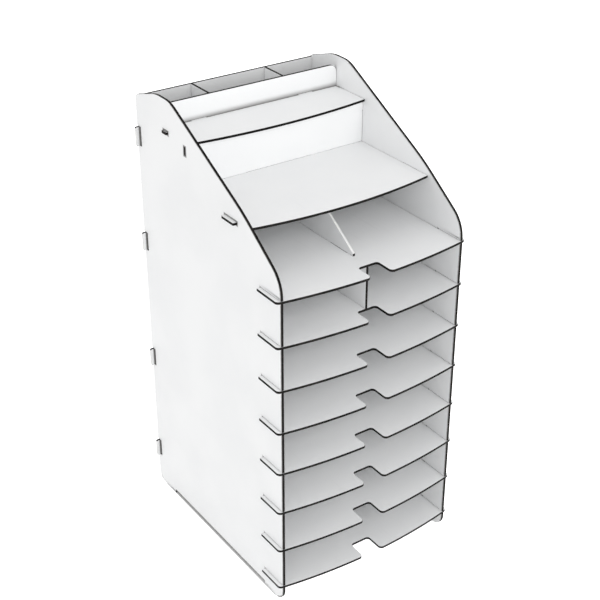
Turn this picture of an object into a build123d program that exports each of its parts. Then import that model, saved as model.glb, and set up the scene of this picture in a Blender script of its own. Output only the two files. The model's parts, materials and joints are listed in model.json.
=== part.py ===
from build123d import *

import os
from math import sqrt

# Desktop document rack: flat boards held together by tabs in slots.
# X runs to the right, the front faces -Y, Z is up. The origin is on the floor, under the middle of the rack.
# Lengths are millimetres.

# Boards and fits
board = 3.0  # thickness of every board
fit_gap = 0.1  # between a fixed tab and its slot
slide_gap = 0.3  # between a removable shelf and the boards that guide it
tab_stand = 5.0  # how far the side tabs of the back panel and the display shelf stand out
tab_corner = 1.5  # rounded corners of the tabs that stand out

# Rack
rack_width = 250.0  # over the outer faces of the side panels
panel_depth = 302.6
shelf_bow = 11.0  # a shelf's middle stands this far in front of the side panels

# Tiers: heights of the boards' middle planes
shelf_count = 8
bottom_shelf_height = 25.0
tray_pitch = 55.85
upper_tier_height = 58.75  # from shelf_1 to the display shelf
step_height = 55.2  # from the display shelf to the step shelf

# Side panel outline
front_edge_over_shelf = 23.75  # where the straight front edge ends, above shelf_1
shoulder_depth = 72.7
shoulder_over_display = 16.4
top_length = 81.4  # from the front slope's upper end to the rear edge
rear_slope_length = 49.8  # the top falls away to the rear edge over this length
rear_slope_drop = 15.3
panel_over_step = 39.8
front_top_radius = 39.0
shoulder_radius = 280.0
top_radius = 41.0
rear_slope_radius = 60.0
rear_top_radius = 9.0
front_foot_radius = 18.0
rear_foot_radius = 12.0
front_foot_length = 41.0
rear_foot_length = 43.0
recess_height = 4.0
recess_radius = 2.5

# Shelves
wing_length = 39.0
wing_stand = 5.0
wing_radius = 5.0
notch_width = 27.0
notch_depth = 26.0
notch_front_radius = 5.0
notch_back_radius = 4.0
rear_tab_spread = 140.0  # between the middles of a shelf's two rear tabs
rear_tab_width = 30.0

# Back panel
back_inset = 3.0  # from the side panels' rear edges to the back panel
back_over_step = 24.0
back_tab_height = 24.0
back_notch_clearance = 3.0  # in front of each of its side tabs, in the side panel's notch
low_tab_rise = 28.5  # above the bottom shelf
second_tab_shelf = 5
third_tab_shelf = 2
middle_tab_rise = 5.2  # of the second and third tabs, above their shelves
high_tab_rise = 29.0  # above the display shelf

# Display shelf
display_setback = 63.4  # its front corners, behind the side panels' front edges
display_bow = 12.0
display_tab_setback = 20.5  # its side tabs, behind its front corners
display_tab_length = 24.5

# Step shelf, riser and pen box
pen_front_depth = 243.8  # from the side panels' front edges to the pen box front
pen_front_over_step = 29.0
pen_front_radius = 10.0
pen_foot_tab_spread = 170.0
pen_foot_tab_width = 20.0
step_depth = 58.2
step_bow = 9.4
step_side_tab_length = 10.0
step_side_tab_depth = 11.0  # its middle, in front of the pen box front
step_side_tab_stand = 3.0  # how far it stands out of the side panel
step_tab_spread = 150.0
step_tab_width = 24.0
riser_setback = 3.7  # behind the step shelf's front corners
riser_tab_height = 10.0
riser_tab_drop = 8.8  # its middle, below the step shelf
riser_foot_tab_spread = 120.0
riser_foot_tab_width = 30.0
divider_spread = 104.0  # between the middles of the two pen dividers
divider_tab_length = 20.0

# Tier dividers
upper_foot_setback = 40.0  # behind the side panels' front edges
upper_foot_rise = 3.0
upper_top_setback = 55.0  # behind the display shelf's front corners
upper_top_tab_setback = 24.0  # its top tab, in front of the pen box
long_tab_length = 30.0
upper_front_tab_depth = 190.0  # in front of the back panel
upper_rear_tab_depth = 60.0
lower_front_tab_depth = 230.0
lower_rear_tab_depth = 110.0

# Places that follow from the sizes
half_board = board / 2
outer_x = rack_width / 2
inner_x = outer_x - board
board_end_x = inner_x - fit_gap
shelf_end_x = inner_x - slide_gap
tab_end_x = outer_x + tab_stand
wing_end_x = outer_x + wing_stand
step_tab_end_x = outer_x + step_side_tab_stand

front_y = (shelf_bow - panel_depth) / 2
rear_y = front_y + panel_depth
back_rear_y = rear_y - back_inset
back_front_y = back_rear_y - board
wing_rear_y = front_y + wing_length
notch_back_y = front_y - shelf_bow + notch_depth
display_front_y = front_y + display_setback
display_tab_y = display_front_y + display_tab_setback + display_tab_length / 2
pen_front_y = front_y + pen_front_depth
pen_rear_y = pen_front_y + board
step_side_tab_y = pen_front_y - step_side_tab_depth
step_front_y = pen_front_y - step_depth
riser_y = step_front_y + riser_setback
upper_foot_y = front_y + upper_foot_setback
upper_top_y = display_front_y + upper_top_setback
upper_top_tab_y = pen_front_y - upper_top_tab_setback

display_z = bottom_shelf_height + (shelf_count - 1) * tray_pitch + upper_tier_height
step_z = display_z + step_height
panel_top_z = step_z + panel_over_step
back_top_z = step_z + back_over_step
pen_front_top_z = step_z + pen_front_over_step
riser_tab_z = step_z - riser_tab_drop
pen_tab_z = (display_z + half_board + back_top_z) / 2

fixed_slot_height = board + 2 * fit_gap
slide_slot_height = board + 2 * slide_gap


def shelf_z(number):
    """Height of a shelf's middle plane; shelf_1 is the top one."""
    return bottom_shelf_height + (shelf_count - number) * tray_pitch


def bow_y(x, end_x, end_y, bow):
    """Front edge of a bowed board: an arc that stands `bow` in front of its ends at x = end_x."""
    radius = (end_x**2 + bow**2) / (2 * bow)
    return end_y - bow + radius - sqrt(radius**2 - x**2)


def twin(spread, height):
    """Two places side by side, at the same height."""
    return [(-spread / 2, height), (spread / 2, height)]


def round_corners(sketch, radius, *corners):
    """Round the sketch's corners that lie at the given points."""
    fillet([sketch.vertices().sort_by_distance(corner)[0] for corner in corners], radius)


def finish(part, name):
    """Label one board and write it to its own file."""
    part.label = name
    export_step(part, f"parts/{name}.step")


os.makedirs("parts", exist_ok=True)

shelf_numbers = range(1, shelf_count + 1)
tier_z = (shelf_z(1) + display_z) / 2
lower_tier_z = (shelf_z(1) + shelf_z(2)) / 2
back_tab_heights = [
    bottom_shelf_height + low_tab_rise,
    shelf_z(second_tab_shelf) + middle_tab_rise,
    shelf_z(third_tab_shelf) + middle_tab_rise,
    display_z + high_tab_rise,
]
upper_tab_places = [back_front_y - upper_front_tab_depth, back_front_y - upper_rear_tab_depth]
lower_tab_places = [back_front_y - lower_front_tab_depth, back_front_y - lower_rear_tab_depth]

# Side panels
front_edge_top_z = shelf_z(1) + front_edge_over_shelf
shoulder = (front_y + shoulder_depth, display_z + shoulder_over_display)
top_front = (rear_y - top_length, panel_top_z)
top_rear = (rear_y - rear_slope_length, panel_top_z)
rear_top = (rear_y, panel_top_z - rear_slope_drop)
front_recess = (front_y + front_foot_length, recess_height)
rear_recess = (rear_y - rear_foot_length, recess_height)

for name, panel_x in (("side_panel_left", -outer_x), ("side_panel_right", inner_x)):
    with BuildPart() as panel:
        with BuildSketch(Plane.YZ.offset(panel_x)) as panel_sketch:
            with BuildLine():
                Polyline(
                    (front_y, 0),
                    (front_y, front_edge_top_z),
                    shoulder,
                    top_front,
                    top_rear,
                    rear_top,
                    (rear_y, 0),
                    (rear_recess[0], 0),
                    rear_recess,
                    front_recess,
                    (front_recess[0], 0),
                    close=True,
                )
            make_face()
            round_corners(panel_sketch, front_foot_radius, (front_y, 0))
            round_corners(panel_sketch, front_top_radius, (front_y, front_edge_top_z))
            round_corners(panel_sketch, shoulder_radius, shoulder)
            round_corners(panel_sketch, top_radius, top_front)
            round_corners(panel_sketch, rear_slope_radius, top_rear)
            round_corners(panel_sketch, rear_top_radius, rear_top)
            round_corners(panel_sketch, rear_foot_radius, (rear_y, 0))
            round_corners(panel_sketch, recess_radius, front_recess, rear_recess)
            # Slots for the shelves' wings, open to the front
            with Locations(*[(front_y, shelf_z(number)) for number in shelf_numbers]):
                Rectangle(
                    wing_length + slide_gap,
                    slide_slot_height,
                    align=(Align.MIN, Align.CENTER),
                    mode=Mode.SUBTRACT,
                )
            # Notches for the back panel's tabs, open to the rear
            with Locations(*[(rear_y, height) for height in back_tab_heights]):
                Rectangle(
                    rear_y - back_front_y + back_notch_clearance,
                    back_tab_height + 2 * fit_gap,
                    align=(Align.MAX, Align.CENTER),
                    mode=Mode.SUBTRACT,
                )
            # Closed slots for the display shelf, the riser and the step shelf
            with Locations((display_tab_y, display_z)):
                Rectangle(display_tab_length + 2 * fit_gap, fixed_slot_height, mode=Mode.SUBTRACT)
            with Locations((riser_y + half_board, riser_tab_z)):
                Rectangle(fixed_slot_height, riser_tab_height + 2 * fit_gap, mode=Mode.SUBTRACT)
            with Locations((step_side_tab_y, step_z)):
                Rectangle(step_side_tab_length + 2 * fit_gap, fixed_slot_height, mode=Mode.SUBTRACT)
        extrude(amount=board)
    finish(panel.part, name)

# Back panel
with BuildPart() as back_panel:
    with BuildSketch(Plane.XZ.offset(-back_front_y)) as back_sketch:
        with Locations((0, recess_height)):
            Rectangle(2 * board_end_x, back_top_z - recess_height, align=(Align.CENTER, Align.MIN))
        with Locations(*[(0, height) for height in back_tab_heights]):
            Rectangle(2 * tab_end_x, back_tab_height)
        tab_corners = [
            (side * tab_end_x, height + end * back_tab_height / 2)
            for height in back_tab_heights
            for side in (-1, 1)
            for end in (-1, 1)
        ]
        round_corners(back_sketch, tab_corner, *tab_corners)
        for number in shelf_numbers:
            with Locations(*twin(rear_tab_spread, shelf_z(number))):
                Rectangle(rear_tab_width + 2 * slide_gap, slide_slot_height, mode=Mode.SUBTRACT)
        with Locations(*twin(rear_tab_spread, display_z)):
            Rectangle(rear_tab_width + 2 * fit_gap, fixed_slot_height, mode=Mode.SUBTRACT)
        with Locations((0, tier_z), (0, lower_tier_z), *twin(divider_spread, pen_tab_z)):
            Rectangle(fixed_slot_height, divider_tab_length + 2 * fit_gap, mode=Mode.SUBTRACT)
    extrude(amount=-board)
finish(back_panel.part, "back_panel")

# Document shelves
wing_front_y = bow_y(wing_end_x, outer_x, front_y, shelf_bow)
notch_front_y = bow_y(notch_width / 2, outer_x, front_y, shelf_bow)
shelf_rear_y = back_front_y - slide_gap
divider_slots = {1: upper_tab_places + lower_tab_places, 2: lower_tab_places}

for number in shelf_numbers:
    with BuildPart() as shelf:
        with BuildSketch(Plane.XY.offset(shelf_z(number) - half_board)) as shelf_sketch:
            with BuildLine():
                ThreePointArc(
                    (-wing_end_x, wing_front_y),
                    (0, front_y - shelf_bow),
                    (wing_end_x, wing_front_y),
                )
                Polyline(
                    (wing_end_x, wing_front_y),
                    (wing_end_x, wing_rear_y),
                    (shelf_end_x, wing_rear_y),
                    (shelf_end_x, shelf_rear_y),
                    (-shelf_end_x, shelf_rear_y),
                    (-shelf_end_x, wing_rear_y),
                    (-wing_end_x, wing_rear_y),
                    (-wing_end_x, wing_front_y),
                )
            make_face()
            round_corners(shelf_sketch, wing_radius, (-wing_end_x, wing_front_y), (wing_end_x, wing_front_y))
            with Locations((0, notch_back_y)):
                Rectangle(
                    notch_width,
                    notch_depth,
                    align=(Align.CENTER, Align.MAX),
                    mode=Mode.SUBTRACT,
                )
            for side in (-1, 1):
                notch_side = side * notch_width / 2
                round_corners(shelf_sketch, notch_back_radius, (notch_side, notch_back_y))
                round_corners(shelf_sketch, notch_front_radius, (notch_side, notch_front_y))
            with Locations(*twin(rear_tab_spread, back_rear_y)):
                Rectangle(
                    rear_tab_width,
                    back_rear_y - shelf_rear_y,
                    align=(Align.CENTER, Align.MAX),
                )
            if number in divider_slots:
                with Locations(*[(0, place) for place in divider_slots[number]]):
                    Rectangle(fixed_slot_height, long_tab_length + 2 * fit_gap, mode=Mode.SUBTRACT)
        extrude(amount=board)
    finish(shelf.part, f"shelf_{number}")

# Display shelf, which is also the floor of the pen box
with BuildPart() as display_shelf:
    with BuildSketch(Plane.XY.offset(display_z - half_board)) as display_sketch:
        with BuildLine():
            ThreePointArc(
                (-board_end_x, display_front_y),
                (0, display_front_y - display_bow),
                (board_end_x, display_front_y),
            )
            Polyline(
                (board_end_x, display_front_y),
                (board_end_x, back_front_y),
                (-board_end_x, back_front_y),
                (-board_end_x, display_front_y),
            )
        make_face()
        with Locations((0, display_tab_y)):
            Rectangle(2 * tab_end_x, display_tab_length)
        tab_corners = [
            (side * tab_end_x, display_tab_y + end * display_tab_length / 2)
            for side in (-1, 1)
            for end in (-1, 1)
        ]
        round_corners(display_sketch, tab_corner, *tab_corners)
        with Locations(*twin(rear_tab_spread, back_rear_y)):
            Rectangle(rear_tab_width, board, align=(Align.CENTER, Align.MAX))
        with Locations(*twin(riser_foot_tab_spread, riser_y + half_board)):
            Rectangle(riser_foot_tab_width + 2 * fit_gap, fixed_slot_height, mode=Mode.SUBTRACT)
        with Locations(*twin(pen_foot_tab_spread, pen_front_y + half_board)):
            Rectangle(pen_foot_tab_width + 2 * fit_gap, fixed_slot_height, mode=Mode.SUBTRACT)
        with Locations(*twin(divider_spread, (pen_rear_y + back_front_y) / 2), (0, upper_top_tab_y)):
            Rectangle(fixed_slot_height, divider_tab_length + 2 * fit_gap, mode=Mode.SUBTRACT)
    extrude(amount=board)
finish(display_shelf.part, "display_shelf")

# Step shelf
with BuildPart() as step_shelf:
    with BuildSketch(Plane.XY.offset(step_z - half_board)) as step_sketch:
        with BuildLine():
            ThreePointArc(
                (-board_end_x, step_front_y),
                (0, step_front_y - step_bow),
                (board_end_x, step_front_y),
            )
            Polyline(
                (board_end_x, step_front_y),
                (board_end_x, pen_front_y),
                (-board_end_x, pen_front_y),
                (-board_end_x, step_front_y),
            )
        make_face()
        with Locations((0, step_side_tab_y)):
            Rectangle(2 * step_tab_end_x, step_side_tab_length)
        tab_corners = [
            (side * step_tab_end_x, step_side_tab_y + end * step_side_tab_length / 2)
            for side in (-1, 1)
            for end in (-1, 1)
        ]
        round_corners(step_sketch, tab_corner, *tab_corners)
        with Locations(*twin(step_tab_spread, pen_front_y)):
            Rectangle(step_tab_width, board, align=(Align.CENTER, Align.MIN))
    extrude(amount=board)
finish(step_shelf.part, "step_shelf")

# Riser plate under the step shelf
display_top_z = display_z + half_board
with BuildPart() as riser_plate:
    with BuildSketch(Plane.XZ.offset(-riser_y)):
        with Locations((0, display_top_z)):
            Rectangle(2 * board_end_x, step_height - board, align=(Align.CENTER, Align.MIN))
        with Locations((0, riser_tab_z)):
            Rectangle(2 * outer_x, riser_tab_height)
        with Locations(*twin(riser_foot_tab_spread, display_top_z)):
            Rectangle(riser_foot_tab_width, board, align=(Align.CENTER, Align.MAX))
    extrude(amount=-board)
finish(riser_plate.part, "riser_plate")

# Pen box front
with BuildPart() as pen_box_front:
    with BuildSketch(Plane.XZ.offset(-pen_front_y)) as pen_sketch:
        with Locations((0, display_top_z)):
            Rectangle(2 * board_end_x, pen_front_top_z - display_top_z, align=(Align.CENTER, Align.MIN))
        top_corners = [(-board_end_x, pen_front_top_z), (board_end_x, pen_front_top_z)]
        round_corners(pen_sketch, pen_front_radius, *top_corners)
        with Locations(*twin(pen_foot_tab_spread, display_top_z)):
            Rectangle(pen_foot_tab_width, board, align=(Align.CENTER, Align.MAX))
        with Locations(*twin(step_tab_spread, step_z)):
            Rectangle(step_tab_width + 2 * fit_gap, fixed_slot_height, mode=Mode.SUBTRACT)
    extrude(amount=-board)
finish(pen_box_front.part, "pen_box_front")

# Pen dividers
for name, divider_x in (("pen_divider_left", -divider_spread / 2), ("pen_divider_right", divider_spread / 2)):
    with BuildPart() as pen_divider:
        with BuildSketch(Plane.YZ.offset(divider_x - half_board)):
            with Locations((pen_rear_y, display_top_z)):
                Rectangle(
                    back_front_y - pen_rear_y,
                    back_top_z - display_top_z,
                    align=(Align.MIN, Align.MIN),
                )
            with Locations(((pen_rear_y + back_front_y) / 2, display_top_z)):
                Rectangle(divider_tab_length, board, align=(Align.CENTER, Align.MAX))
            with Locations((back_front_y, pen_tab_z)):
                Rectangle(board, divider_tab_length, align=(Align.MIN, Align.CENTER))
        extrude(amount=board)
    finish(pen_divider.part, name)

# Upper tier divider, with a slanted front edge
tier_floor_z = shelf_z(1) + half_board
tier_ceiling_z = display_z - half_board
with BuildPart() as upper_tier_divider:
    with BuildSketch(Plane.YZ.offset(-half_board)):
        with BuildLine():
            Polyline(
                (upper_foot_y, tier_floor_z),
                (upper_foot_y, tier_floor_z + upper_foot_rise),
                (upper_top_y, tier_ceiling_z),
                (back_front_y, tier_ceiling_z),
                (back_front_y, tier_floor_z),
                close=True,
            )
        make_face()
        with Locations(*[(place, tier_floor_z) for place in upper_tab_places]):
            Rectangle(long_tab_length, board, align=(Align.CENTER, Align.MAX))
        with Locations((upper_top_tab_y, tier_ceiling_z)):
            Rectangle(divider_tab_length, board, align=(Align.CENTER, Align.MIN))
        with Locations((back_front_y, tier_z)):
            Rectangle(board, divider_tab_length, align=(Align.MIN, Align.CENTER))
    extrude(amount=board)
finish(upper_tier_divider.part, "upper_tier_divider")

# Lower tier divider, of full height
lower_floor_z = shelf_z(2) + half_board
lower_ceiling_z = shelf_z(1) - half_board
with BuildPart() as lower_tier_divider:
    with BuildSketch(Plane.YZ.offset(-half_board)):
        with Locations((notch_back_y, lower_floor_z)):
            Rectangle(
                back_front_y - notch_back_y,
                lower_ceiling_z - lower_floor_z,
                align=(Align.MIN, Align.MIN),
            )
        with Locations(*[(place, lower_floor_z) for place in lower_tab_places]):
            Rectangle(long_tab_length, board, align=(Align.CENTER, Align.MAX))
        with Locations(*[(place, lower_ceiling_z) for place in lower_tab_places]):
            Rectangle(long_tab_length, board, align=(Align.CENTER, Align.MIN))
        with Locations((back_front_y, lower_tier_z)):
            Rectangle(board, divider_tab_length, align=(Align.MIN, Align.CENTER))
    extrude(amount=board)
finish(lower_tier_divider.part, "lower_tier_divider")
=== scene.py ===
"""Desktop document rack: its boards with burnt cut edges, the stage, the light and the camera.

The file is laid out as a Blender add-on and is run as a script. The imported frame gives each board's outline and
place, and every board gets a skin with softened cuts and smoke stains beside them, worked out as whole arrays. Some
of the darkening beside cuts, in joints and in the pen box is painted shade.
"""

import json
import math

import bpy
import numpy as np
from bpy.props import FloatProperty, FloatVectorProperty, IntProperty, PointerProperty
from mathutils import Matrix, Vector


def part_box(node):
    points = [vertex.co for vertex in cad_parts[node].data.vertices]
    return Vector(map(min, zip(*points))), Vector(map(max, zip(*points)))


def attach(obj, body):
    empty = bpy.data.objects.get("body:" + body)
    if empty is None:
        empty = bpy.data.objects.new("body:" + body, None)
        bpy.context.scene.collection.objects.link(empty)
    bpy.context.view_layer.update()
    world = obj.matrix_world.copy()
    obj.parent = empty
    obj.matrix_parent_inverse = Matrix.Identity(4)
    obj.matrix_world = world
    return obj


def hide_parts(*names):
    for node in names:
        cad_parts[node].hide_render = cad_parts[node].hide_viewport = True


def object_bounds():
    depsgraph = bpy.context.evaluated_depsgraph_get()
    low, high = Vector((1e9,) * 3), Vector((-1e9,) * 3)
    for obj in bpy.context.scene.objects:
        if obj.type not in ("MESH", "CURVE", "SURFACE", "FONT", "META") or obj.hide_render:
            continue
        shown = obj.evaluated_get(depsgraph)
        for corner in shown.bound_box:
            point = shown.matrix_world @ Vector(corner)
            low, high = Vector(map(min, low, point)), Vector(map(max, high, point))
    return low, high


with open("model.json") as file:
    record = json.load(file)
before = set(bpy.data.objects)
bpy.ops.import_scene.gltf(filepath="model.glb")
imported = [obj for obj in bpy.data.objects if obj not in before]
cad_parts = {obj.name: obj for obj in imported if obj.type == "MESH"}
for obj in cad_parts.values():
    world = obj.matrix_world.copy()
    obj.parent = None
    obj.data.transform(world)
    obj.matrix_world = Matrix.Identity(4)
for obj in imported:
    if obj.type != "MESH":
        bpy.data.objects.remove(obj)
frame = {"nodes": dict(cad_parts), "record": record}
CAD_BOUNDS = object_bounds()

bl_info = {
    "name": "Desktop Document Rack",
    "version": (1, 0, 0),
    "blender": (4, 5, 0),
    "location": "3D View > Sidebar > Document Rack",
    "description": "Skins the boards of a flat-pack document rack and sets its stage",
    "category": "Object",
}

SHELF_NODES = [f"shelf_{number}" for number in range(1, 9)]
AXES = np.eye(3)
AXIS_WORDS = ("x", "y", "z")
FACE, CUT, PALE = range(3)  # a board's material slots

SHELF_LOW, SHELF_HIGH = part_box("shelf_1")
BOARD_THICKNESS = SHELF_HIGH.z - SHELF_LOW.z
BODY_OF_NODE = {
    node: body for body, members in frame["record"]["behaviour"]["bodies"].items() for node in members
}

# Geometry of the skins
FLAT_SHARE = 0.999  # least share of a normal along the axis, on a flat face
WELD_GRID = 1e7  # steps per metre to which a face's points are rounded before they are joined
SHARP_ANGLE = math.radians(40)

# Cut edges, told apart by the share of their outward normal along an axis, and the stains and painted shade beside
# them
SQUARE_SHARE, SLANTED_SHARE, FORWARD_SHARE, DOWNWARD_SHARE = 0.97, 0.9, 0.3, 0.5
# FULL: painted shade at the step shelf's rear, where it meets the pen box front; FRONT and SLOPE: soot beside the
# side panels' front cuts
FULL_SOOT_AND_SHADE, FRONT_STAIN, SLOPE_STAIN = 0.9, 0.8, 0.55
STEP_SHADE_DEPTH = 5 * BOARD_THICKNESS  # of the step shelf's rear, where the painted shade is full
RECESS_HEIGHTS = (0.3 * BOARD_THICKNESS, 3 * BOARD_THICKNESS)  # the recess's edge lies between them
PANEL_REACH, STEP_SHADE_REACH = 2.6, 3.2  # the width of the smoke stains and painted shade on these boards, times the usual

# Painted shade in joints, notches and the pen box
SHADE_SOFTNESS = 0.1 * BOARD_THICKNESS
TAB_SHADE_END = 0.4 * BOARD_THICKNESS  # past the side panel's outer face
INNER_SHADE_STRENGTH, INNER_SHADE_SKIN = 0.2, (0.2 * BOARD_THICKNESS, 0.5 * BOARD_THICKNESS)  # it fades out within this depth
# painted contact shadow on the pen box front, just above the step shelf
PLATE_SHADE_STRENGTH, PLATE_SHADE_HEIGHT = 0.58, 3.6 * BOARD_THICKNESS

# Patterns: a pair is the low and the high end of a span
NOISE_RANGE = (0.3, 0.7)  # where most of a noise texture's values lie
CLOUD_RANGE = (0.35, 0.7)
FILM_ROUGHNESS, PEEL_ROUGHNESS = (0.34, 0.44), (0.0, 0.08)
SPECK_RADII, SPECK_STRENGTH = (0.03, 0.07), 0.35  # radii as shares of the specks' cells
SPECKS_PER_PEEL = 0.23  # cells of specks to one of the pressed texture
TORN_LUMPS_PER_METRE, TORN_RANGE = 260.0, (0.8, 1.15)
STAIN_AND_SHADE_RANGE, STAIN_AND_SHADE_COVER = (0.05, 0.7), 0.85
BURNS_PER_KERF = 0.045  # slow burns to one kerf line
BURN_RANGE, KERF_CONTRAST = (0.38, 0.68), (0.45, 1.0)
KERF_ROUGHNESS, CHAR_GLOSS = (0.48, 0.72), 0.06
ROUGH_NOISE = 0.6  # how rough the torn fringe's and the burns' noise is
STREAK_SCALE, STREAK_RANGE = (420.0, 9.0, 420.0), (0.55, 0.8)  # streaks per metre along X, Y and Z
PATCH_SCALE, PATCH_RANGE = (14.0, 9.0, 14.0), (0.45, 0.75)
RUB_STRENGTH, RUB_POLISH, SOOT_ROUGHNESS = 0.35, 0.3, 0.25
PEEL_DEPTH, CHAR_DEPTH, PALE_DEPTH = 0.00002, 0.00006, 0.00003  # of the bumps, in metres

# Stage
FLOOR_HEIGHT = -0.0004  # just under the feet
STRIP_SETBACK, STRIP_SOFTNESS = 6 * BOARD_THICKNESS, BOARD_THICKNESS / 3  # of the strips under the side panels
FRONT_LAMP_PLACE, FRONT_LAMP_SIZE = (-0.3, -3.0, 1.7), 2.4
SIDE_LAMP_PLACE, SIDE_LAMP_SIZE = (-3.0, -0.4, 0.7), 1.2
SENSOR_WIDTH = 36.0
CLIP_RANGE = (0.05, 60.0)


class BoardSettings(bpy.types.PropertyGroup):
    """Sizes of a board's cut edge."""

    arris_radius: FloatProperty(
        name="Arris radius",
        description="Rounding where a face meets a cut edge",
        default=BOARD_THICKNESS / 12,
        min=0.0,
        unit="LENGTH",
        precision=5,
    )
    arris_steps: IntProperty(
        name="Arris steps",
        description="Facets across the rounding",
        default=3,
        min=1,
        max=8,
    )
    # this width also carries the painted shade beside the slots, the recess and the step shelf's rear
    soot_and_shade_width: FloatProperty(
        name="Soot width",
        description="How far smoke stains reach from a cut edge onto the face",
        default=BOARD_THICKNESS * 0.35,
        min=0.0,
        unit="LENGTH",
        precision=5,
    )
    faint_soot: FloatProperty(
        name="Faint soot",
        description="How much of a full stain an ordinary cut edge has",
        subtype="FACTOR",
        default=0.16,
        min=0.0,
        max=1.0,
    )


class FinishSettings(bpy.types.PropertyGroup):
    """Colours and scales of the laminate and of the burnt cuts."""

    laminate_color: FloatVectorProperty(
        name="Laminate",
        description="Clean laminate",
        subtype="COLOR",
        size=3,
        min=0.0,
        max=1.0,
        default=(0.838, 0.843, 0.846),
    )
    cloud_color: FloatVectorProperty(
        name="Laminate cloud",
        description="Laminate where the white layer under the film is thinner",
        subtype="COLOR",
        size=3,
        min=0.0,
        max=1.0,
        default=(0.823, 0.829, 0.834),
    )
    cloud_size: FloatProperty(
        name="Cloud size",
        description="Distance between the laminate's clouds",
        default=0.07,
        unit="LENGTH",
    )
    peel_size: FloatProperty(
        name="Peel size",
        description="Pitch of the pressed texture in the film",
        default=0.0011,
        unit="LENGTH",
        precision=5,
    )
    rub_color: FloatVectorProperty(
        name="Rub marks",
        description="Faint grey streaks where the contents slide in and out",
        subtype="COLOR",
        size=3,
        min=0.0,
        max=1.0,
        default=(0.70, 0.70, 0.715),
    )
    char_color: FloatVectorProperty(
        name="Char",
        description="Burnt cut edge",
        subtype="COLOR",
        size=3,
        min=0.0,
        max=1.0,
        default=(0.006, 0.0055, 0.0055),
    )
    ember_color: FloatVectorProperty(
        name="Ember",
        description="Less burnt streaks in the cut edge",
        subtype="COLOR",
        size=3,
        min=0.0,
        max=1.0,
        default=(0.022, 0.019, 0.018),
    )
    # also the colour of all the painted shade: in joints, notches, slot gaps, the recess and the pen box
    soot_and_shade_color: FloatVectorProperty(
        name="Soot",
        description="Smoke stain beside a cut edge",
        subtype="COLOR",
        size=3,
        min=0.0,
        max=1.0,
        default=(0.10, 0.095, 0.09),
    )
    pale_color: FloatVectorProperty(
        name="Pale cut",
        description="A cut edge that was wiped clean",
        subtype="COLOR",
        size=3,
        min=0.0,
        max=1.0,
        default=(0.82, 0.82, 0.80),
    )
    kerf_pitch: FloatProperty(
        name="Kerf pitch",
        description="Distance between the cutter's marks along an edge",
        default=0.0006,
        unit="LENGTH",
        precision=5,
    )


class StageSettings(bpy.types.PropertyGroup):
    """Floor, lamps and camera."""

    floor_color: FloatVectorProperty(
        name="Floor",
        description="Plain pale floor",
        subtype="COLOR",
        size=3,
        min=0.0,
        max=1.0,
        default=(0.93, 0.93, 0.93),
    )
    floor_size: FloatProperty(name="Floor size", description="Side of the floor", default=24.0, unit="LENGTH")
    floor_glow: FloatProperty(
        name="Floor glow",
        description="White that the camera sees on top of the lit floor",
        subtype="FACTOR",
        default=0.78,
        min=0.0,
        max=1.0,
    )
    sky_strength: FloatProperty(name="Sky strength", description="Even light from all round", default=0.87)
    front_power: FloatProperty(name="Front lamp", description="Lamp before the rack", default=42.0, unit="POWER")
    side_power: FloatProperty(name="Side lamp", description="Low lamp on the left", default=4.0, unit="POWER")
    camera_place: FloatVectorProperty(
        name="Camera place",
        description="Where the camera stands",
        subtype="TRANSLATION",
        size=3,
        default=(-0.7652, -1.1078, 1.0742),
    )
    camera_azimuth: FloatProperty(
        name="Camera azimuth",
        description="Turn round the rack; 0 looks along +Y",
        subtype="ANGLE",
        default=math.radians(-34.63),
    )
    camera_elevation: FloatProperty(
        name="Camera elevation",
        description="Angle above the horizon",
        subtype="ANGLE",
        default=math.radians(29.52),
    )
    camera_lens: FloatProperty(name="Lens", description="Focal length", default=76.32, unit="CAMERA")


# Board skins


def cap_triangles(node, axis):
    """The flat face of a board that looks along +axis: its points, and triangles that turn counter-clockwise."""
    mesh = frame["nodes"][node].data
    mesh.calc_loop_triangles()
    points = np.empty(len(mesh.vertices) * 3, np.float32)
    mesh.vertices.foreach_get("co", points)
    corners = np.empty(len(mesh.loop_triangles) * 3, np.int32)
    mesh.loop_triangles.foreach_get("vertices", corners)
    triangles = points.reshape(-1, 3).astype(float)[corners].reshape(-1, 3, 3)
    normals = np.cross(triangles[:, 1] - triangles[:, 0], triangles[:, 2] - triangles[:, 0])
    lengths = np.linalg.norm(normals, axis=1)
    facing = normals[:, axis] > FLAT_SHARE * lengths
    flat = triangles[facing].reshape(-1, 3)
    _, first, inverse = np.unique(
        np.round(flat * WELD_GRID).astype(np.int64), axis=0, return_index=True, return_inverse=True
    )
    faces = inverse.reshape(-1, 3)
    solid = (faces[:, 0] != faces[:, 1]) & (faces[:, 1] != faces[:, 2]) & (faces[:, 2] != faces[:, 0])
    return flat[first], faces[solid]


def rim_of(points, faces, axis):
    """The rim of a flat face: its directed edges, their outward normals and each point's mitre.

    An edge is on the rim when no triangle runs along it the other way. Its outward normal is its direction crossed
    with the axis. A point's mitre is (a + b) / (1 + a . b) for the normals a and b of its two rim edges, so that a
    step of t along it moves both edges by t.
    """
    count = len(points)
    edges = np.concatenate([faces[:, [0, 1]], faces[:, [1, 2]], faces[:, [2, 0]]])
    codes = edges[:, 0] * count + edges[:, 1]
    rim = edges[~np.isin(codes, edges[:, 1] * count + edges[:, 0])]
    along = points[rim[:, 1]] - points[rim[:, 0]]
    along /= np.linalg.norm(along, axis=1, keepdims=True)
    outward = np.cross(along, AXES[axis])
    if len(rim) != count or np.any(np.bincount(rim[:, 0], minlength=count) != 1):
        raise ValueError("a board's face has points off its rim, or a rim that touches itself")
    after, before = np.empty((count, 3)), np.empty((count, 3))
    after[rim[:, 0]] = outward
    before[rim[:, 1]] = outward
    mitre = (after + before) / (1 + np.sum(after * before, axis=1, keepdims=True))
    return rim, outward, mitre


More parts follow.
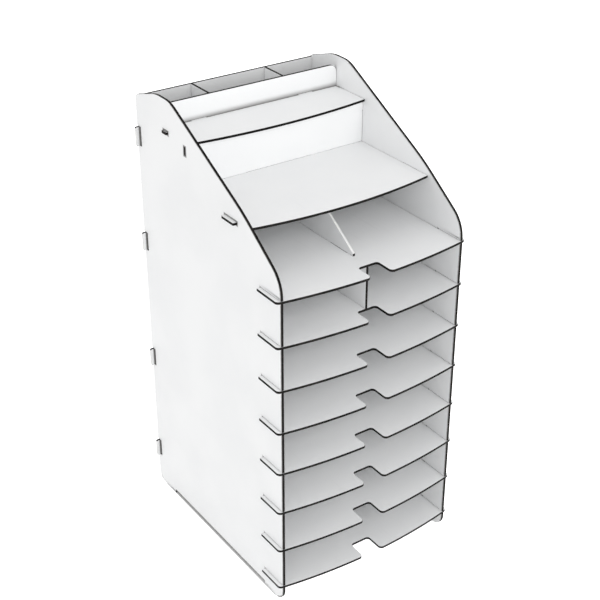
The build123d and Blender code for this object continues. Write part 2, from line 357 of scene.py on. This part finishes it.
def edge_profile(thickness, soot_and_shade_width, settings):
    """A board's section from one face to the other, as insets from the outline, depths and the weight of smoke
    stains and painted shade.

    The first ring lies on the face, where the smoke stains and painted shade end. The arris follows a quarter circle
    of radius r:
    inset r (1 - sin a), depth r (1 - cos a), for a from 0 to 90 degrees. The far face mirrors it.
    """
    turn = np.linspace(0, math.pi / 2, settings.arris_steps + 1)
    inset = np.concatenate([[soot_and_shade_width], settings.arris_radius * (1 - np.sin(turn))])
    depth = np.concatenate([[0.0], settings.arris_radius * (1 - np.cos(turn))])
    soot = np.concatenate([[0.0], np.ones(len(turn))])
    return (
        np.concatenate([inset, inset[::-1]]),
        np.concatenate([depth, thickness - depth[::-1]]),
        np.concatenate([soot, soot[::-1]]),
    )


def in_holes(points, rim):
    """Which rim edges bound a hole: those that no walk along the rim joins to the board's lowest point.

    Each point's label becomes the lowest number on its loop, by steps along the rim whose length doubles.
    """
    ahead = np.empty(len(points), np.int64)
    ahead[rim[:, 0]] = rim[:, 1]
    label = np.arange(len(points))
    for _ in range(len(points).bit_length()):
        label = np.minimum(label, label[ahead])
        ahead = ahead[ahead]
    return label[rim[:, 0]] != label[np.argmin(points.sum(axis=1))]


def edge_marks(rings, edges, settings, pale, sooty, sooty_side):
    """Material slot, and strength of the smoke stains and painted shade, of each quad of a skin, as arrays with a
    row per step between rings.
    """
    cut = np.full((rings - 1, len(edges[0])), CUT, np.int32)
    stain_and_shade = np.full(cut.shape, settings.faint_soot)
    if pale is not None:
        cut[:, pale(*edges)] = PALE
    if sooty is not None:
        stain_and_shade = np.maximum(stain_and_shade, sooty(*edges))
    if sooty_side:
        clean_face = stain_and_shade[-1 if sooty_side > 0 else 0]
        clean_face[clean_face >= FULL_SOOT_AND_SHADE] = settings.faint_soot
    cut[[0, -1]] = FACE
    return cut, stain_and_shade


def board_skin(node, materials, pale=None, sooty=None, sooty_side=0, reach=1.0):
    """One board with softened cuts, smoke stains beside them and on some boards painted shade, on the outline of its
    CAD node.

    The section of edge_profile is carried along the rim: ring k holds each outline point p at
    p - inset_k * mitre - depth_k * axis. Quads join the rings, and the face's own triangles close both ends.
    pale picks rim edges whose cuts were wiped clean, and sooty gives the strength of the smoke stains beside each
    edge, which on some boards are also painted shade, both from the edges' middles, outward normals and holes.
    sooty_side is 1 or -1 where the full strength, smoke stains with painted shade, is only on the face on that side
    of the axis. reach multiplies their width.
    """
    low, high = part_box(node)
    axis = int(np.argmin(high - low))
    settings = bpy.context.scene.rack_boards
    points, faces = cap_triangles(node, axis)
    rim, outward, mitre = rim_of(points, faces, axis)
    inset, depth, soot = edge_profile((high - low)[axis], settings.soot_and_shade_width * reach, settings)
    rings, count = len(inset), len(points)
    skin = (
        points[None, :, :]
        - inset[:, None, None] * mitre[None, :, :]
        - depth[:, None, None] * AXES[axis][None, None, :]
    )
    steps = np.arange(rings - 1)[:, None] * count
    first, second = rim[None, :, 0], rim[None, :, 1]
    quads = np.stack([steps + first, steps + count + first, steps + count + second, steps + second], axis=-1)
    far_faces = faces[:, ::-1] + (rings - 1) * count
    mesh = bpy.data.meshes.new(node + "_skin")
    mesh.from_pydata(
        skin.reshape(-1, 3).tolist(),
        [],
        faces.tolist() + far_faces.tolist() + quads.reshape(-1, 4).tolist(),
    )
    edges = (points[rim].mean(axis=1), outward, in_holes(points, rim))
    cut, stain_and_shade = edge_marks(rings, edges, settings, pale, sooty, sooty_side)
    slots = np.concatenate([np.full(2 * len(faces), FACE, np.int32), cut.ravel()])
    mesh.polygons.foreach_set("material_index", slots)
    mesh.polygons.foreach_set("use_smooth", slots != FACE)
    across = np.stack([soot[:-1], soot[1:], soot[1:], soot[:-1]], axis=1)
    corner_soot_and_shade = np.concatenate([np.zeros(faces.size * 2), (across[:, None, :] * stain_and_shade[:, :, None]).ravel()])
    mesh.attributes.new("soot", "FLOAT", "CORNER").data.foreach_set("value", corner_soot_and_shade)
    mesh.set_sharp_from_angle(angle=SHARP_ANGLE)
    for material in (materials["face"], materials["cut"][axis], materials["pale"][axis]):
        mesh.materials.append(material)
    mesh.validate()
    board = bpy.data.objects.new(node + "_board", mesh)
    bpy.context.scene.collection.objects.link(board)
    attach(board, BODY_OF_NODE[node])
    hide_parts(node)
    return board


# Shared effects


def new_group(name, inputs, outputs):
    """An empty shader node group with named sockets, and its input and output nodes."""
    group = bpy.data.node_groups.new(name, "ShaderNodeTree")
    for label, kind, value in inputs:
        socket = group.interface.new_socket(label, in_out="INPUT", socket_type=kind)
        if value is not None:
            socket.default_value = value
    for label, kind in outputs:
        group.interface.new_socket(label, in_out="OUTPUT", socket_type=kind)
    return group, group.nodes.new("NodeGroupInput"), group.nodes.new("NodeGroupOutput")


def scaled(tree, vector, size):
    """The vector divided by a size socket, so that a texture's scale reads as a length."""
    return resized(tree, vector, calculate(tree, "DIVIDE", 1.0, size))


def resized(tree, vector, factor):
    """The vector times a socket or a number."""
    node = tree.nodes.new("ShaderNodeVectorMath")
    node.operation = "SCALE"
    tree.links.new(vector, node.inputs[0])
    if isinstance(factor, bpy.types.NodeSocket):
        tree.links.new(factor, node.inputs["Scale"])
    else:
        node.inputs["Scale"].default_value = factor
    return node.outputs[0]


def stretched(tree, vector, scales):
    """The vector with its three coordinates scaled apart."""
    node = tree.nodes.new("ShaderNodeMapping")
    node.inputs["Scale"].default_value = scales
    tree.links.new(vector, node.inputs["Vector"])
    return node.outputs["Vector"]


def noise(tree, vector, detail, roughness=0.5):
    """A noise texture of one cell per unit of the vector."""
    node = tree.nodes.new("ShaderNodeTexNoise")
    node.inputs["Scale"].default_value = 1.0
    node.inputs["Detail"].default_value = detail
    node.inputs["Roughness"].default_value = roughness
    tree.links.new(vector, node.inputs["Vector"])
    return node.outputs["Fac"]


def spread(tree, value, span, result=(0.0, 1.0)):
    """The value's span, its low and high end, taken to a new one with soft ends."""
    node = tree.nodes.new("ShaderNodeMapRange")
    node.interpolation_type = "SMOOTHSTEP"
    for label, number in zip(("From Min", "From Max", "To Min", "To Max"), (*span, *result)):
        node.inputs[label].default_value = number
    tree.links.new(value, node.inputs["Value"])
    return node.outputs["Result"]


def calculate(tree, operation, first, second):
    """One math node on two sockets or numbers."""
    node = tree.nodes.new("ShaderNodeMath")
    node.operation = operation
    for place, value in enumerate((first, second)):
        if isinstance(value, (int, float)):
            node.inputs[place].default_value = value
        else:
            tree.links.new(value, node.inputs[place])
    return node.outputs[0]


def blended(tree, factor, first, second):
    """Two colours mixed by a factor."""
    node = tree.nodes.new("ShaderNodeMix")
    node.data_type = "RGBA"
    tree.links.new(factor, node.inputs["Factor"])
    for label, value in (("A", first), ("B", second)):
        socket = next(s for s in node.inputs if s.name == label and s.type == "RGBA")
        if isinstance(value, bpy.types.NodeSocket):
            tree.links.new(value, socket)
        else:
            socket.default_value = (*value, 1.0)
    return next(s for s in node.outputs if s.type == "RGBA")


def laminate_group():
    """Laminate film: cloudy white, small specks, and a pressed texture that also breaks up the gloss."""
    tree, source, result = new_group(
        "Laminate film",
        [
            ("Vector", "NodeSocketVector", None),
            ("Color", "NodeSocketColor", None),
            ("Cloud Color", "NodeSocketColor", None),
            ("Cloud Size", "NodeSocketFloat", 0.07),
            ("Peel Size", "NodeSocketFloat", 0.001),
        ],
        [("Color", "NodeSocketColor"), ("Roughness", "NodeSocketFloat"), ("Height", "NodeSocketFloat")],
    )
    place = source.outputs["Vector"]
    cloud = noise(tree, scaled(tree, place, source.outputs["Cloud Size"]), 3.0)
    peel_place = scaled(tree, place, source.outputs["Peel Size"])
    peel = noise(tree, peel_place, 2.0)
    speck = tree.nodes.new("ShaderNodeTexVoronoi")
    speck.inputs["Scale"].default_value = 1.0
    tree.links.new(resized(tree, peel_place, SPECKS_PER_PEEL), speck.inputs["Vector"])
    dot = spread(tree, speck.outputs["Distance"], SPECK_RADII, (SPECK_STRENGTH, 0.0))
    color = blended(tree, spread(tree, cloud, CLOUD_RANGE), source.outputs["Color"], source.outputs["Cloud Color"])
    shown = blended(tree, dot, color, source.outputs["Cloud Color"])
    film_gloss = spread(tree, cloud, NOISE_RANGE, FILM_ROUGHNESS)
    gloss = calculate(tree, "ADD", film_gloss, spread(tree, peel, NOISE_RANGE, PEEL_ROUGHNESS))
    tree.links.new(shown, result.inputs["Color"])
    tree.links.new(gloss, result.inputs["Roughness"])
    tree.links.new(peel, result.inputs["Height"])
    return tree


def soot_and_shade_group():
    """Smoke stains and painted shade beside a cut: the soot attribute torn up by noise, taken at least as dark as an
    even band of painted shade, as a mask.
    """
    tree, source, result = new_group(
        "Soot fringe",
        [("Vector", "NodeSocketVector", None), ("Soot", "NodeSocketFloat", 0.0), ("Smear", "NodeSocketFloat", 0.0)],
        [("Mask", "NodeSocketFloat")],
    )
    torn = noise(tree, resized(tree, source.outputs["Vector"], TORN_LUMPS_PER_METRE), 4.0, ROUGH_NOISE)
    fringe = calculate(tree, "MULTIPLY", source.outputs["Soot"], spread(tree, torn, NOISE_RANGE, TORN_RANGE))
    # painted shade from the even bands, where it is darker than the torn fringe
    stain_and_shade = calculate(tree, "MAXIMUM", fringe, source.outputs["Smear"])
    tree.links.new(spread(tree, stain_and_shade, STAIN_AND_SHADE_RANGE, (0.0, STAIN_AND_SHADE_COVER)), result.inputs["Mask"])
    return tree


def kerf_group():
    """Marks of the cutter: fine lines straight across the edge, and slower burns along it."""
    tree, source, result = new_group(
        "Kerf lines",
        [("Vector", "NodeSocketVector", None), ("Pitch", "NodeSocketFloat", 0.0006)],
        [("Burn", "NodeSocketFloat"), ("Roughness", "NodeSocketFloat"), ("Height", "NodeSocketFloat")],
    )
    place = scaled(tree, source.outputs["Vector"], source.outputs["Pitch"])
    lines = noise(tree, place, 1.0)
    burns = spread(tree, noise(tree, resized(tree, place, BURNS_PER_KERF), 3.0, ROUGH_NOISE), BURN_RANGE)
    burn = calculate(tree, "MULTIPLY", burns, spread(tree, lines, NOISE_RANGE, KERF_CONTRAST))
    tree.links.new(burn, result.inputs["Burn"])
    tree.links.new(spread(tree, lines, NOISE_RANGE, KERF_ROUGHNESS), result.inputs["Roughness"])
    tree.links.new(lines, result.inputs["Height"])
    return tree


# Materials


def start_material(name, preview):
    """A material with a Principled shader, and Object coordinates to hang patterns on."""
    material = bpy.data.materials.new(name)
    material.use_nodes = True
    material.diffuse_color = (*preview, 1.0)
    tree = material.node_tree
    shader = next(node for node in tree.nodes if node.type == "BSDF_PRINCIPLED")
    place = tree.nodes.new("ShaderNodeTexCoord").outputs["Object"]
    return material, tree, shader, place


def placed_group(tree, group, **values):
    """A shared effect in a material, with its own values."""
    node = tree.nodes.new("ShaderNodeGroup")
    node.node_tree = group
    for label, value in values.items():
        socket = node.inputs[label.replace("_", " ")]
        if isinstance(value, bpy.types.NodeSocket):
            tree.links.new(value, socket)
        else:
            socket.default_value = value
    return node


def roughen(tree, shader, height, depth):
    """Bump of a real depth, in metres, from a height between 0 and 1."""
    bump = tree.nodes.new("ShaderNodeBump")
    bump.inputs["Strength"].default_value = 1.0
    bump.inputs["Distance"].default_value = depth
    tree.links.new(height, bump.inputs["Height"])
    tree.links.new(bump.outputs["Normal"], shader.inputs["Normal"])


def along(tree, place, axis):
    """One coordinate of a place."""
    split = tree.nodes.new("ShaderNodeSeparateXYZ")
    tree.links.new(place, split.inputs[0])
    return split.outputs[axis]


def back_painted_shade(tree, place):
    """Painted shade on the back panel: a dark band across each side tab, for the shade in the clearance of its
    notch, and a grey band of shade on the inner face of the pen box's back wall."""
    wall_low, wall_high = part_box("side_panel_right")
    shelf_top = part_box("display_shelf")[1].z
    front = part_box("back_panel")[0].y
    # painted shade: a dark band across each side tab, for the shade in its notch's clearance
    away = calculate(tree, "ABSOLUTE", along(tree, place, "X"), 0.0)
    end = wall_high.x + TAB_SHADE_END
    from_wall = spread(tree, away, (wall_low.x - SHADE_SOFTNESS, wall_low.x + SHADE_SOFTNESS))
    to_end = spread(tree, away, (end - SHADE_SOFTNESS, end + SHADE_SOFTNESS), (1.0, 0.0))
    tab = calculate(tree, "MULTIPLY", from_wall, to_end)
    # painted shade: a grey band on the inner face of the pen box's back wall, above the display shelf
    film = spread(tree, along(tree, place, "Z"), (shelf_top, shelf_top + BOARD_THICKNESS), (0.0, INNER_SHADE_STRENGTH))
    inner_side = spread(tree, along(tree, place, "Y"), (front + INNER_SHADE_SKIN[0], front + INNER_SHADE_SKIN[1]), (1.0, 0.0))
    return calculate(tree, "MAXIMUM", tab, calculate(tree, "MULTIPLY", film, inner_side))


def plate_painted_shade(tree, place):
    """Painted shade on the pen box front: a contact shadow above the step shelf's top, which thins out upwards."""
    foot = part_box("step_shelf")[1].z
    heights = (foot - BOARD_THICKNESS, foot + PLATE_SHADE_HEIGHT)
    return spread(tree, along(tree, place, "Z"), heights, (PLATE_SHADE_STRENGTH, 0.0))


def laminate_material(name, groups, rubbed=False, shade_smear=None):
    """White satin laminate with smoke stains beside its cuts, which on some boards are also painted shade, and
    painted shade where the given function puts it.

    On shelves, use has rubbed faint streaks along Y.
    """
    finish = bpy.context.scene.rack_finish
    material, tree, shader, place = start_material(name, finish.laminate_color)
    film = placed_group(
        tree,
        groups["film"],
        Vector=place,
        Color=(*finish.laminate_color, 1.0),
        Cloud_Color=(*finish.cloud_color, 1.0),
        Cloud_Size=finish.cloud_size,
        Peel_Size=finish.peel_size,
    )
    color, gloss = film.outputs["Color"], film.outputs["Roughness"]
    if rubbed:
        streak = spread(tree, noise(tree, stretched(tree, place, STREAK_SCALE), 2.0), STREAK_RANGE)
        patch = spread(tree, noise(tree, stretched(tree, place, PATCH_SCALE), 1.0), PATCH_RANGE)
        rub = calculate(tree, "MULTIPLY", calculate(tree, "MULTIPLY", streak, patch), RUB_STRENGTH)
        color = blended(tree, rub, color, finish.rub_color)
        gloss = calculate(tree, "SUBTRACT", gloss, calculate(tree, "MULTIPLY", rub, RUB_POLISH))
    attribute = tree.nodes.new("ShaderNodeAttribute")
    attribute.attribute_name = "soot"
    # painted shade from the given function, mixed in with the soot colour
    evenly = 0.0 if shade_smear is None else shade_smear(tree, place)
    fringe = placed_group(tree, groups["soot"], Vector=place, Soot=attribute.outputs["Fac"], Smear=evenly)
    soot = fringe.outputs["Mask"]
    dull = calculate(tree, "MULTIPLY", soot, SOOT_ROUGHNESS)
    tree.links.new(blended(tree, soot, color, finish.soot_and_shade_color), shader.inputs["Base Color"])
    tree.links.new(calculate(tree, "ADD", gloss, dull), shader.inputs["Roughness"])
    roughen(tree, shader, film.outputs["Height"], PEEL_DEPTH)
    return material


def cut_material(name, axis, groups, first, second, depth):
    """A cut edge across one axis: the kerf lines run along that axis, so the pattern doesn't change along it."""
    finish = bpy.context.scene.rack_finish
    material, tree, shader, place = start_material(name, first)
    across = stretched(tree, place, tuple(1.0 - AXES[axis]))
    kerf = placed_group(tree, groups["kerf"], Vector=across, Pitch=finish.kerf_pitch)
    tree.links.new(blended(tree, kerf.outputs["Burn"], first, second), shader.inputs["Base Color"])
    tree.links.new(kerf.outputs["Roughness"], shader.inputs["Roughness"])
    shader.inputs["Specular IOR Level"].default_value = CHAR_GLOSS
    roughen(tree, shader, kerf.outputs["Height"], depth)
    return material


def rack_materials():
    """Every material of the boards, made once and shared by the operators."""
    if "rack" in MATERIALS:
        return MATERIALS["rack"]
    finish = bpy.context.scene.rack_finish
    groups = {"film": laminate_group(), "soot": soot_and_shade_group(), "kerf": kerf_group()}
    MATERIALS["rack"] = {
        "upright": laminate_material("upright laminate", groups),
        # the back panel's laminate carries painted shade at its tabs and inside the pen box
        "back": laminate_material("back panel laminate", groups, shade_smear=back_painted_shade),
        # the pen box front's laminate carries a painted contact shadow at its foot
        "plate": laminate_material("pen box front laminate", groups, shade_smear=plate_painted_shade),
        "shelf": laminate_material("shelf laminate", groups, rubbed=True),
        "cut": [
            cut_material(f"burnt cut across {word}", axis, groups, finish.char_color, finish.ember_color, CHAR_DEPTH)
            for axis, word in enumerate(AXIS_WORDS)
        ],
        "pale": [
            cut_material(f"pale cut across {word}", axis, groups, finish.pale_color, finish.rub_color, PALE_DEPTH)
            for axis, word in enumerate(AXIS_WORDS)
        ],
    }
    return MATERIALS["rack"]


MATERIALS = {}


def dress(nodes, face, **edges):
    """Skins some boards, with the named laminate on their faces."""
    materials = rack_materials()
    chosen = {"face": materials[face], "cut": materials["cut"], "pale": materials["pale"]}
    for node in nodes:
        board_skin(node, chosen, **edges)


def slanted(middles, outward, hole):
    """Edges square to none of the axes."""
    return np.max(np.abs(outward), axis=1) < SLANTED_SHARE


def sideways(middles, outward, hole):
    """Edges that face left or right: the ends of the tabs."""
    return np.abs(outward[:, 0]) > SQUARE_SHARE


def shade_near_the_rear(middles, outward, hole):
    """Painted shade at full strength in the last few board thicknesses before the rearmost edge, where the step
    shelf meets the pen box front.
    """
    return np.where(middles[:, 1] > middles[:, 1].max() - STEP_SHADE_DEPTH, FULL_SOOT_AND_SHADE, 0.0)


def slots_recess_and_front(middles, outward, hole):
    """Full strength round the closed slots and along the recess between the feet, smoke stains with painted shade of
    the slot gaps and of the gap under the panel; part strength, smoke stains only, along the front and the slope.
    """
    above_floor = middles[:, 2] - middles[:, 2].min()
    low, high = RECESS_HEIGHTS
    recess = (outward[:, 2] < -DOWNWARD_SHARE) & (above_floor > low) & (above_floor < high)
    forward = -outward[:, 1]
    slope = np.where(forward > FORWARD_SHARE, SLOPE_STAIN, 0.0)
    return np.where(hole | recess, 1.0, np.where(forward > SQUARE_SHARE, FRONT_STAIN, slope))


# Operators


class RACK_OT_side_panels(bpy.types.Operator):
    """Skin the two side panels, with their slots, notches and feet"""

    bl_idname = "rack.side_panels"
    bl_label = "Side Panels"

    def execute(self, context):
        for node, side in (("side_panel_left", -1), ("side_panel_right", 1)):
            # the full strength round the slots and along the recess is painted shade along with the smoke stains
            dress([node], "upright", sooty=slots_recess_and_front, sooty_side=side, reach=PANEL_REACH)
        return {"FINISHED"}


class RACK_OT_back_panel(bpy.types.Operator):
    """Skin the back panel and its tabs"""

    bl_idname = "rack.back_panel"
    bl_label = "Back Panel"

    def execute(self, context):
        dress(["back_panel"], "back", pale=sideways)
        return {"FINISHED"}


class RACK_OT_document_shelves(bpy.types.Operator):
    """Skin the eight document shelves; each loose one rides on its own body"""

    bl_idname = "rack.document_shelves"
    bl_label = "Document Shelves"

    def execute(self, context):
        dress(SHELF_NODES, "shelf")
        return {"FINISHED"}


class RACK_OT_display_shelf(bpy.types.Operator):
    """Skin the display shelf, which is also the floor of the pen box"""

    bl_idname = "rack.display_shelf"
    bl_label = "Display Shelf"

    def execute(self, context):
        dress(["display_shelf"], "shelf")
        return {"FINISHED"}


class RACK_OT_step(bpy.types.Operator):
    """Skin the step shelf and the riser plate under it"""

    bl_idname = "rack.step"
    bl_label = "Step Shelf and Riser"

    def execute(self, context):
        # painted contact shade along the step shelf's rear, where it meets the pen box front
        dress(["step_shelf"], "shelf", sooty=shade_near_the_rear, sooty_side=1, reach=STEP_SHADE_REACH)
        dress(["riser_plate"], "upright")
        return {"FINISHED"}


class RACK_OT_pen_box(bpy.types.Operator):
    """Skin the pen box front and its two dividers"""

    bl_idname = "rack.pen_box"
    bl_label = "Pen Box"

    def execute(self, context):
        dress(["pen_box_front"], "plate")
        dress(["pen_divider_left", "pen_divider_right"], "upright")
        return {"FINISHED"}


class RACK_OT_tier_dividers(bpy.types.Operator):
    """Skin the two tier dividers; the upper one's slanted front edge is a pale cut"""

    bl_idname = "rack.tier_dividers"
    bl_label = "Tier Dividers"

    def execute(self, context):
        dress(["upper_tier_divider"], "upright", pale=slanted)
        dress(["lower_tier_divider"], "upright")
        return {"FINISHED"}


class RACK_OT_stage(bpy.types.Operator):
    """Lay the floor, hang the lamps and place the camera"""

    bl_idname = "rack.stage"
    bl_label = "Stage"

    def execute(self, context):
        lay_floor(context.scene.rack_stage)
        light_stage(context.scene.rack_stage)
        place_camera(context.scene.rack_stage)
        return {"FINISHED"}


# Stage


def seen_directly(tree):
    """A factor of 1 for what the camera sees straight, in a mirror or through glass."""
    path = tree.nodes.new("ShaderNodeLightPath")
    straight = calculate(tree, "MAXIMUM", path.outputs["Is Camera Ray"], path.outputs["Is Glossy Ray"])
    return calculate(tree, "MAXIMUM", straight, path.outputs["Is Transmission Ray"])


def beside_panels(tree):
    """A factor of 0 on the floor right under the side panels and 1 elsewhere, with a short soft step between.

    The strips end short of the feet's rounded ends.
    """
    low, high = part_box("side_panel_right")
    place = tree.nodes.new("ShaderNodeTexCoord").outputs["Object"]
    strip = (
        (calculate(tree, "ABSOLUTE", along(tree, place, "X"), 0.0), low.x, high.x),
        (along(tree, place, "Y"), low.y + STRIP_SETBACK, high.y - STRIP_SETBACK),
    )
    beyond = []
    for away, least, most in strip:
        from_middle = calculate(tree, "ABSOLUTE", calculate(tree, "SUBTRACT", away, (least + most) / 2), 0.0)
        beyond.append(calculate(tree, "SUBTRACT", from_middle, (most - least) / 2))
    return spread(tree, calculate(tree, "MAXIMUM", *beyond), (0.0, STRIP_SOFTNESS))


def lay_floor(stage):
    """A flat square just under the feet, whose white keeps the rack's soft shadow."""
    half = stage.floor_size / 2
    grid = np.array([(-half, -half), (half, -half), (half, half), (-half, half)])
    corners = np.column_stack([grid, np.full(4, FLOOR_HEIGHT)])
    mesh = bpy.data.meshes.new("floor")
    mesh.from_pydata(corners.tolist(), [], [[0, 1, 2, 3]])
    material = bpy.data.materials.new("pale floor")
    material.use_nodes = True
    tree = material.node_tree
    tree.nodes.clear()
    matte = tree.nodes.new("ShaderNodeBsdfDiffuse")
    matte.inputs["Color"].default_value = (*stage.floor_color, 1.0)
    glow = tree.nodes.new("ShaderNodeEmission")
    both = tree.nodes.new("ShaderNodeAddShader")
    surface = tree.nodes.new("ShaderNodeOutputMaterial")
    share = calculate(tree, "MULTIPLY", beside_panels(tree), stage.floor_glow)
    tree.links.new(calculate(tree, "MULTIPLY", seen_directly(tree), share), glow.inputs["Strength"])
    tree.links.new(matte.outputs[0], both.inputs[0])
    tree.links.new(glow.outputs[0], both.inputs[1])
    tree.links.new(both.outputs[0], surface.inputs["Surface"])
    mesh.materials.append(material)
    floor = bpy.data.objects.new("floor", mesh)
    bpy.context.scene.collection.objects.link(floor)


def hang_lamp(name, place, target, side, power):
    """A square soft lamp at a place, turned to a target."""
    lamp = bpy.data.lights.new(name, "AREA")
    lamp.shape = "SQUARE"
    lamp.size = side
    lamp.energy = power
    holder = bpy.data.objects.new(name, lamp)
    holder.location = place
    holder.rotation_euler = (Vector(target) - Vector(place)).to_track_quat("-Z", "Y").to_euler()
    bpy.context.scene.collection.objects.link(holder)


def light_stage(stage):
    """An even sky that the camera sees as white, and two broad lamps."""
    world = bpy.context.scene.world or bpy.data.worlds.new("sky")
    bpy.context.scene.world = world
    world.use_nodes = True
    tree = world.node_tree
    tree.nodes.clear()
    even = tree.nodes.new("ShaderNodeBackground")
    even.inputs["Strength"].default_value = stage.sky_strength
    white = tree.nodes.new("ShaderNodeBackground")
    mix = tree.nodes.new("ShaderNodeMixShader")
    surface = tree.nodes.new("ShaderNodeOutputWorld")
    for sky in (even, white):
        sky.inputs["Color"].default_value = (1.0, 1.0, 1.0, 1.0)
    tree.links.new(seen_directly(tree), mix.inputs["Fac"])
    tree.links.new(even.outputs[0], mix.inputs[1])
    tree.links.new(white.outputs[0], mix.inputs[2])
    tree.links.new(mix.outputs[0], surface.inputs["Surface"])
    middle = (CAD_BOUNDS[0] + CAD_BOUNDS[1]) / 2
    hang_lamp("front lamp", FRONT_LAMP_PLACE, middle, FRONT_LAMP_SIZE, stage.front_power)
    hang_lamp("side lamp", SIDE_LAMP_PLACE, middle, SIDE_LAMP_SIZE, stage.side_power)


def place_camera(stage):
    """The camera of the photograph: it looks down at the rack's front left corner."""
    data = bpy.data.cameras.new("camera")
    data.lens = stage.camera_lens
    data.sensor_width = SENSOR_WIDTH
    data.clip_start, data.clip_end = CLIP_RANGE
    camera = bpy.data.objects.new("camera", data)
    azimuth, elevation = stage.camera_azimuth, stage.camera_elevation
    back = Vector(
        (
            math.sin(azimuth) * math.cos(elevation),
            -math.cos(azimuth) * math.cos(elevation),
            math.sin(elevation),
        )
    )
    camera.location = stage.camera_place
    camera.rotation_euler = (-back).to_track_quat("-Z", "Y").to_euler()
    bpy.context.scene.collection.objects.link(camera)
    bpy.context.scene.camera = camera
    bpy.context.scene.view_settings.view_transform = "Standard"


# Panel and registration

OPERATORS = (
    RACK_OT_side_panels,
    RACK_OT_back_panel,
    RACK_OT_document_shelves,
    RACK_OT_display_shelf,
    RACK_OT_step,
    RACK_OT_pen_box,
    RACK_OT_tier_dividers,
    RACK_OT_stage,
)


class VIEW3D_PT_document_rack(bpy.types.Panel):
    """The rack's pieces, sizes and colours"""

    bl_label = "Document Rack"
    bl_idname = "VIEW3D_PT_document_rack"
    bl_space_type = "VIEW_3D"
    bl_region_type = "UI"
    bl_category = "Document Rack"

    def draw(self, context):
        column = self.layout.column()
        for operator in OPERATORS:
            column.operator(operator.bl_idname)
        for group in (context.scene.rack_boards, context.scene.rack_finish, context.scene.rack_stage):
            box = self.layout.box()
            for name in group.bl_rna.properties.keys():
                if name not in ("rna_type", "name"):
                    box.prop(group, name)


SETTINGS = {"rack_boards": BoardSettings, "rack_finish": FinishSettings, "rack_stage": StageSettings}
CLASSES = (*SETTINGS.values(), *OPERATORS, VIEW3D_PT_document_rack)


def register():
    for cls in CLASSES:
        bpy.utils.register_class(cls)
    for name, settings in SETTINGS.items():
        setattr(bpy.types.Scene, name, PointerProperty(type=settings))


def unregister():
    for name in SETTINGS:
        delattr(bpy.types.Scene, name)
    for cls in reversed(CLASSES):
        bpy.utils.unregister_class(cls)


def main():
    """Registers the classes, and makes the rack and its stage."""
    register()
    bpy.ops.rack.side_panels()
    bpy.ops.rack.back_panel()
    bpy.ops.rack.document_shelves()
    bpy.ops.rack.display_shelf()
    bpy.ops.rack.step()
    bpy.ops.rack.pen_box()
    bpy.ops.rack.tier_dividers()
    bpy.ops.rack.stage()


if __name__ == "__main__":
    main()
